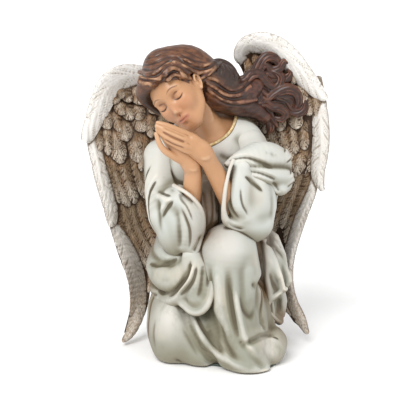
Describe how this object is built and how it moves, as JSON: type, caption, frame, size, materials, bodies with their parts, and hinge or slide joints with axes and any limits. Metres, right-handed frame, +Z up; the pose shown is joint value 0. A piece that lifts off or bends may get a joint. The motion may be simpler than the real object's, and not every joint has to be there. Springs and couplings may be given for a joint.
{
  "type": "angel figurine",
  "caption": "Kneeling resin angel figurine with raised wings, head bowed onto joined hands, windswept hair and a draped robe, free-standing.",
  "frame": {"origin": "on the underside of the felt pad, below the middle of the figure", "axes": "+Z up, -Y the way the figure faces, +X the figure's left"},
  "size_m": [0.2403, 0.1667, 0.32],
  "materials": {
    "robe": "painted resin, pale grey-green with dark wash in the folds, satin",
    "skin": "painted resin, tan, satin",
    "hair": "painted resin, chestnut with rubbed highlights, satin",
    "wing": "painted resin, off-white dry-brushed over brown, matte",
    "gold_trim": "gold paint",
    "resin": "unpainted cast resin",
    "felt": "felt",
    "steel": "bright drawn"
  },
  "bodies": {
    "root": {"robe_skirt": "robe", "robe_bodice": "robe", "right_sleeve": "robe", "left_sleeve": "robe", "shawl_wrap": "robe", "shawl_tail": "robe", "hip_drape": "robe", "head": "skin", "left_hand": "skin", "right_hand": "skin", "hair_cap": "hair", "hair_windswept_lock": "hair", "hair_curl_upper": "hair", "hair_curl_middle": "hair", "hair_curl_lower": "hair", "left_wing": "wing", "right_wing": "wing", "neckline_trim": "gold_trim", "base_plate": "resin", "felt_pad": "felt", "left_wing_pin_upper": "steel", "left_wing_pin_lower": "steel", "right_wing_pin_upper": "steel", "right_wing_pin_lower": "steel", "neck_pin": "steel"}
  },
  "joints": []
}
